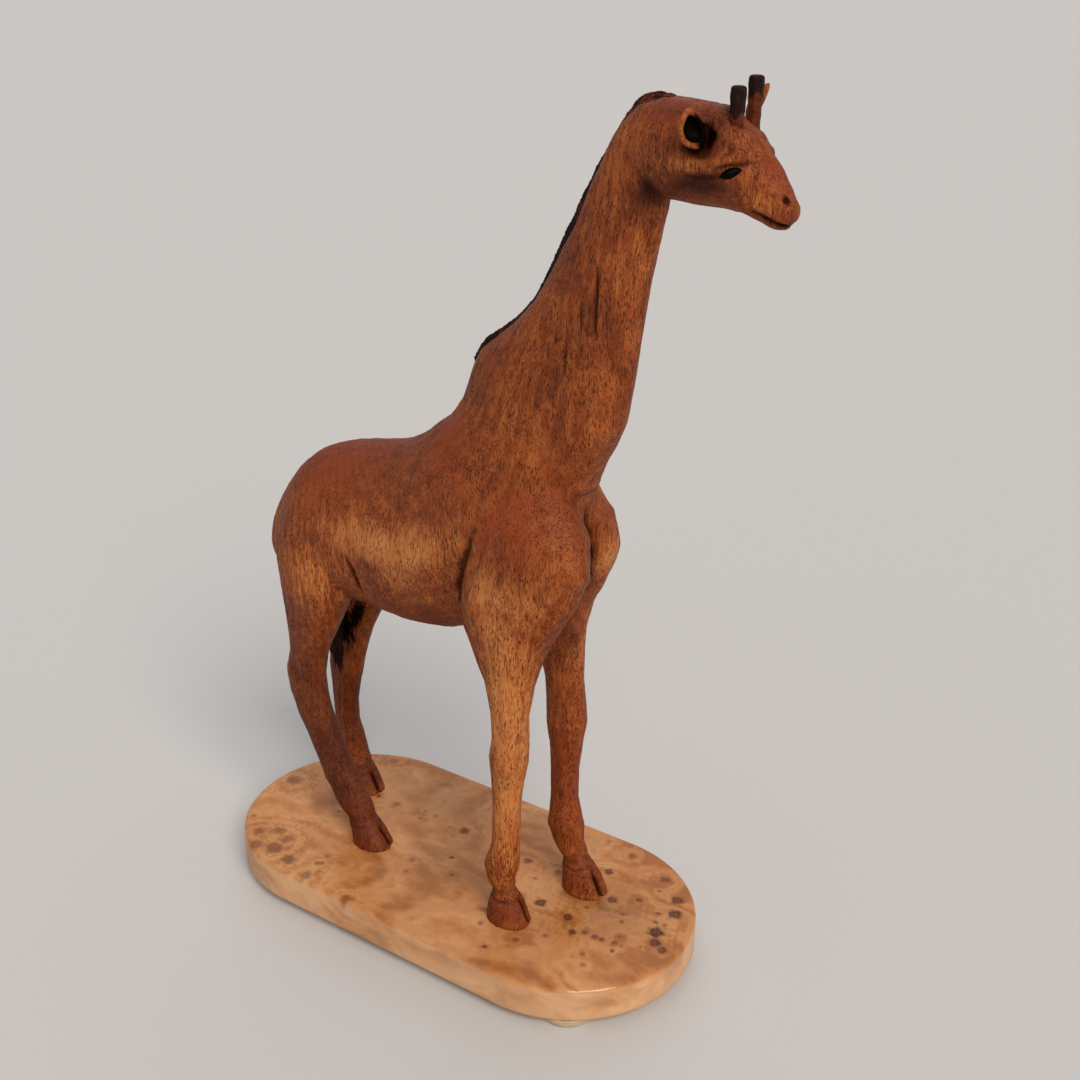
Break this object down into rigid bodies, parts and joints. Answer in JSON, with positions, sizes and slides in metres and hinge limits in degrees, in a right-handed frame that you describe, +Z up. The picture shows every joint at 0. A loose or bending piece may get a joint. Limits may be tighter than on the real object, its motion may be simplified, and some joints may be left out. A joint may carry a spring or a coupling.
{
  "type": "carved giraffe statue",
  "caption": "Carved and stained wooden giraffe standing on a rounded burl-wood base with small bumper feet.",
  "frame": {"origin": "middle of the statue's overall footprint, on the surface that its bumper feet stand on", "axes": "+X the way the animal faces, along the base; +Y to the animal's left; +Z up"},
  "size_m": [0.206, 0.0892, 0.2934],
  "materials": {
    "stained_wood": "red-brown stained hardwood, satin oil finish",
    "burnt_wood": "burnt and tooled, matt",
    "black_inlay": "ebonised, satin",
    "burl": "pale maple burl, gloss varnish",
    "screw_steel": "brass-plated steel screws",
    "pale_rubber": "pale self-adhesive bumper"
  },
  "bodies": {
    "root": {"carved_figure": "stained_wood", "mane_strip": "burnt_wood", "tail": "burnt_wood", "ear_right": "stained_wood", "ear_left": "stained_wood", "ossicone_right": "burnt_wood", "ossicone_left": "burnt_wood", "eye_right": "black_inlay", "eye_left": "black_inlay", "burl_base": "burl", "leg_screw_front_right": "screw_steel", "leg_screw_front_left": "screw_steel", "leg_screw_hind_right": "screw_steel", "leg_screw_hind_left": "screw_steel", "bumper_foot_front_right": "pale_rubber", "bumper_foot_front_left": "pale_rubber", "bumper_foot_rear_right": "pale_rubber", "bumper_foot_rear_left": "pale_rubber"}
  },
  "joints": []
}
